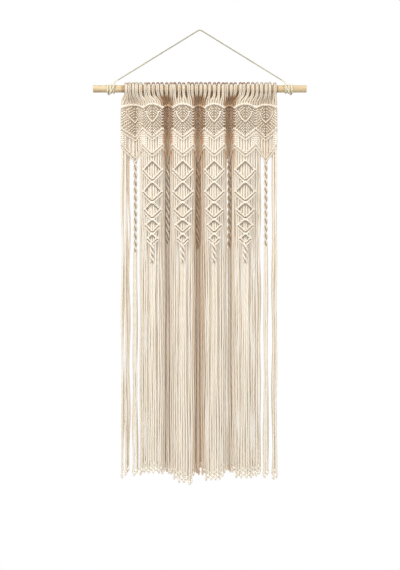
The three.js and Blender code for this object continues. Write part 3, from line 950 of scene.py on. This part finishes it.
def rib_lines(side):
    """Ribs of the leaves, as lines of place in the motif and drop, from the middle outwards."""
    for first in np.arange(RIB["first"], RIB["last"], RIB["pitch"]):
        share = float(smoothstep(first, *RIB["steepens"]))
        slope = (RIB["slope_high"] + (RIB["slope_low"] - RIB["slope_high"]) * share) * HALF_MOTIF
        place = np.linspace(0.05, 0.99, 31)
        drop = first + slope * place
        edge = PANEL_EDGE["middle"] + (PANEL_EDGE["side"] - PANEL_EDGE["middle"]) * place
        roof = TOP_BAR["drop"] + TOP_BAR["arch"] * place**2
        leaf_v = np.interp(place, LEAF_V[:, 0], LEAF_V[:, 1])
        at_v = (place < RIB["v_end"]) & (abs(drop - leaf_v) < RIB["from_v"])
        open_place = (drop > roof + RIB["under_top"]) & (drop < edge - RIB["over_edge"]) & ~at_v
        starts = np.flatnonzero(np.diff(np.concatenate([[0], open_place.astype(int), [0]])))
        for low, high in zip(starts[::2], starts[1::2]):
            if high - low > 3:
                yield side * place[low:high], drop[low:high]


def make_leaf_backing():
    """The cords between the rows of knots, which pass from each row to the next, painted in shade."""
    inner = Knotwork()
    ends = Knotwork()
    for k in range(2 * CORDS_PER_MOTIF * MOTIFS):
        across = (k + 0.5) * CORD_PITCH / 2
        drops = np.linspace(float(top_bar_drop(across)) + BACKING["under_top"],
                            float(panel_edge_drop(across)) - BACKING["over_edge"], 7)
        along, depth = fold_at(across + np.array([-1, 1]))
        stretch = math.hypot(along[1] - along[0], depth[1] - depth[0]) / 2
        in_end_motif = k // (2 * CORDS_PER_MOTIF) in (0, MOTIFS - 1)
        lit = in_end_motif and abs(float(place_in_motif(across))) > BACKING["lit_from"]
        work = ends if lit else inner
        work.hung_cord(across, BACKING["back"], drops, BACKING["radius"] * max(1.0, stretch))
    # A dark cord under the top bar, as a painted shadow line
    across = whole_row()
    inner.hung_cord(across, SHADOW_UNDER_TOP_BAR["forward"], top_bar_drop(across) + SHADOW_UNDER_TOP_BAR["below"],
                    SHADOW_UNDER_TOP_BAR["radius"])
    # Painted shade: deep in the closed folds, lighter in the open sides of the end motifs
    inner.piece("leaf_backing", ["leaf_panels"], DEEP_SHADE_COTTON)
    ends.piece("end_leaf_backing", ["leaf_panels"], SHADED_COTTON)


def make_leaf_panels(name, motifs):
    """Rows of half hitches that make two leaves in each motif."""
    work = Knotwork()
    for motif in motifs:
        middle = middle_of(motif)
        for side in (-1, 1):
            for place, drop in rib_lines(side):
                tie_bar(work, middle + HALF_MOTIF * place, drop, RIB["forward"], RIB_KNOTS, side)
            tie_bar(work, middle + side * HALF_MOTIF * LEAF_V[:, 0], LEAF_V[:, 1], LEAF_V_FORWARD,
                    LEAF_KNOTS, side)
            edge = half_bar(motif, side)
            for shift in PANEL_EDGE["rows"]:
                tie_bar(work, edge, panel_edge_drop(edge) + shift, PANEL_EDGE["forward"], V_KNOTS, side)
    work.piece(name, ["leaf_panels"], LIT_KNOT_COTTON)


# ---- Fringe ----

def tie_v_bar(work, leads, motif, side):
    """One half of a V bar, its leading cord, and the one in the panel edge above it."""
    across = half_bar(motif, side)
    drop = v_bar_drop(across, motif)
    edge = panel_edge_drop(across) + PANEL_EDGE["cord_shift"]
    leads.hung_cord(across, V_BAR["cord_forward"], drop, ROW_CORD_RADIUS)
    leads.hung_cord(across, PANEL_EDGE["cord_forward"], edge, ROW_CORD_RADIUS)
    for shift in V_BAR["rows"]:
        tie_bar(work, across, drop + shift, V_BAR["forward"], V_KNOTS, side)


def tie_side_columns(work, motif, side):
    """Single knots under each other between the panel edge and the V bar."""
    for place in SIDE_COLUMNS:
        across = middle_of(motif) + side * place * HALF_MOTIF
        high = float(panel_edge_drop(across)) + SIDE_COLUMN["under_edge"]
        low = float(v_bar_drop(across, motif)) - SIDE_COLUMN["over_bar"]
        for drop in np.arange(high, low, SIDE_COLUMN["pitch"]):
            tie_bar(work, [across - SIDE_COLUMN["half_width"], across + SIDE_COLUMN["half_width"]],
                    [drop + SIDE_COLUMN["slope"], drop - SIDE_COLUMN["slope"]], SIDE_COLUMN["forward"],
                    SIDE_KNOTS, side)


def hang_strands(work, motif):
    """The outer strands of a motif reach the hem, and the middle ones go into its spiral or its chain."""
    for place in range(CORDS_PER_MOTIF):
        across = motif * MOTIF_WIDTH + (place + 0.5) * CORD_PITCH
        in_middle = 1 < place < CORDS_PER_MOTIF - 2
        if not in_middle:
            foot = float(hem_drop(across)) - (place % 2) * HEM_STAGGER
        elif has_spiral(motif):
            foot = float(v_bar_drop(across, motif))
        else:
            foot = CHAIN_SPIRAL["from"]
        strand(work, across, across, float(panel_edge_drop(across)) - 2, foot, knotted=not in_middle)


def make_fringe():
    """The second row of V bars, the knots above it, and the long plain strands of the fringe."""
    work = Knotwork()
    leads = Knotwork()
    for motif in range(MOTIFS):
        for side in (-1, 1):
            tie_v_bar(work, leads, motif, side)
            tie_side_columns(work, motif, side)
        hang_strands(work, motif)
    work.piece("fringe_strands", ["fringe"], COTTON, LIT_KNOT_COTTON)
    # The leading cords are painted in shade, as dark lines between the rows of hitches
    leads.piece("leading_cords", ["fringe"], SHADED_COTTON)


def make_back_fringe():
    """Strands behind the gaps of the first layer, short where the curtain can be seen through."""
    work = Knotwork()
    back = BACK_STRAND["back"]
    for place in np.sort([*range(1, MOTIFS * CORDS_PER_MOTIF), *EXTRA_PLACES]):
        motif, step = (int(part) for part in divmod(place, CORDS_PER_MOTIF))
        across = place * CORD_PITCH
        short = step in OPEN_PLACES.get(motif, ())
        if short:
            foot = float(v_bar_drop(across, motif))
        else:
            foot = float(hem_drop(across)) - BACK_STRAND["rise"] - (place % 2) * BACK_STRAND["stagger"]
        strand(work, across, across, float(panel_edge_drop(across)), foot, back, back, knotted=not short,
               thickness=BACK_STRAND["radius"])
    # Painted shade: the back strands take the darker cotton
    work.piece("back_strands", ["fringe"], BACK_SHADE_COTTON, LIT_KNOT_COTTON)


# ---- Diamond chains and spirals ----

def make_diamond_chain(motif, number, cores):
    """Five diamonds of knotted bars, a short spiral below them and the strands that leave it."""
    work = Knotwork()
    middle = middle_of(motif)
    crossings = [crossing for crossing, _, _ in DIAMONDS] + [CHAIN["end"]]
    share = np.linspace(0, 1, 5)
    for (crossing, side_drop, reach), next_crossing in zip(DIAMONDS, crossings[1:]):
        for side in (-1, 1):
            upper = middle + side * reach * share
            drop = crossing + (side_drop - crossing) * share
            tie_bar(work, upper, drop, CHAIN["forward"], UPPER_CHAIN_KNOTS, side)
            # A dark cord under the upper bar, as a painted shadow line
            cores.hung_cord(upper, CHAIN["cord_forward"], drop + CHAIN["shadow_cord_below"],
                            CHAIN["shadow_cord_radius"])
            lower = middle + side * reach * (1 - share)
            drop = side_drop + (next_crossing - side_drop) * share
            cores.hung_cord(lower, CHAIN["cord_forward"], drop, ROW_CORD_RADIUS)
            for shift in CHAIN["rows"]:
                tie_bar(work, lower, drop + shift, CHAIN["forward"], LOWER_CHAIN_KNOTS, side)
    tie_column(work, cores, middle, CHAIN_SPIRAL, CHAIN_SPIRAL["from"], CHAIN_SPIRAL["to"])
    bundle(work, middle, CHAIN_SPIRAL["to"], CHAIN_BUNDLE)
    work.piece(f"diamonds_{number}", [f"diamond_chain_{number}"], COTTON, LIT_KNOT_COTTON)


def make_spiral(motif, foot, number, cores):
    """A long column of half knots that winds round its core, and the strands that leave it."""
    work = Knotwork()
    middle = middle_of(motif)
    bulge = INNER_BULGE if 0 < motif < MOTIFS - 1 else 0
    tie_column(work, cores, middle, {**SPIRAL, "bulge": bulge}, SPIRAL["from"], foot)
    bundle(work, middle, foot, SPIRAL_BUNDLE, bulge / 2)
    # Two spirals' knots are painted in fold shade, and the others lighter as lit
    knots = FOLD_SHADE_KNOT_COTTON if motif in FOLD_SHADE_MOTIFS else LIT_KNOT_COTTON
    work.piece(f"twist_{number}", [f"spiral_{number}"], COTTON, knots)


def make_chains_and_spirals():
    cores = Knotwork()
    chains = range(1, MOTIFS // 2 + 1)
    for chain in chains:
        make_diamond_chain(2 * chain - 1, chain, cores)
    for number, (motif, foot) in enumerate(SPIRALS, 1):
        make_spiral(motif, foot, number, cores)
    replaced = [f"spiral_{k + 1}" for k in range(len(SPIRALS))] + [f"diamond_chain_{k}" for k in chains]
    # The cores and leading cords of chains and spirals are painted in deep shade
    cores.piece("twist_cores", replaced, DEEP_SHADE_COTTON)


# ---- Floor and light ----

def make_floor():
    mesh = bpy.data.meshes.new("floor")
    whole = bmesh.new()
    bmesh.ops.create_circle(whole, cap_ends=True, segments=96, radius=FLOOR["radius"])
    bmesh.ops.translate(whole, verts=whole.verts, vec=(0, 0, FLOOR["height"]))
    whole.to_mesh(mesh)
    whole.free()
    mesh.materials.append(floor_material())
    add_object("floor", mesh)


def make_light(name, place, size, power, colour):
    data = bpy.data.lights.new(name, "AREA")
    data.shape = "DISK"
    data.size = size
    data.energy = power
    data.color = colour
    light = add_object(name, data)
    light.location = place
    light.rotation_euler = (Vector(place) - Vector(AIM)).to_track_quat("Z", "Y").to_euler()


def make_studio():
    """A white room for the camera, dimmer for the cloth, so that the folds fall into shade."""
    world = bpy.data.worlds.new("studio")
    world.use_nodes = True
    nodes = Nodes(world.node_tree)
    seen = nodes.add("ShaderNodeLightPath", output="Is Camera Ray")
    room = nodes.add("ShaderNodeBackground", sockets={"Color": (*WARM_WHITE, 1.0), "Strength": AMBIENT})
    backdrop = nodes.add("ShaderNodeBackground", sockets={"Color": (1.0, 1.0, 1.0, 1.0), "Strength": 1.0})
    shown = nodes.add("ShaderNodeMixShader", sockets={0: seen, 1: room, 2: backdrop})
    nodes.add("ShaderNodeOutputWorld", sockets={"Surface": shown})
    bpy.context.scene.world = world
    bpy.context.scene.view_settings.view_transform = "Standard"
    make_light("left_softbox", place=(-1.6, -1.9, 1.7), size=0.7, power=70, colour=DAYLIGHT)
    make_light("right_softbox", place=(2.0, -1.6, 1.4), size=0.8, power=34, colour=DAYLIGHT)
    make_light("front_fill", place=(0, -3.5, -0.7), size=1.6, power=52, colour=DAYLIGHT)
    make_light("back_fill", place=(0.4, 2.4, 0.4), size=1.8, power=20, colour=WARM_WHITE)


make_hanging_cord()
make_hitch("left")
make_hitch("right")
make_rod()
make_heading()
make_legs_behind()
make_leaf_backing()
make_leaf_panels("leaves_left", range(0, 3))
make_leaf_panels("leaves_middle", range(3, 6))
make_leaf_panels("leaves_right", range(6, 9))
make_fringe()
make_back_fringe()
make_chains_and_spirals()
make_floor()
make_studio()
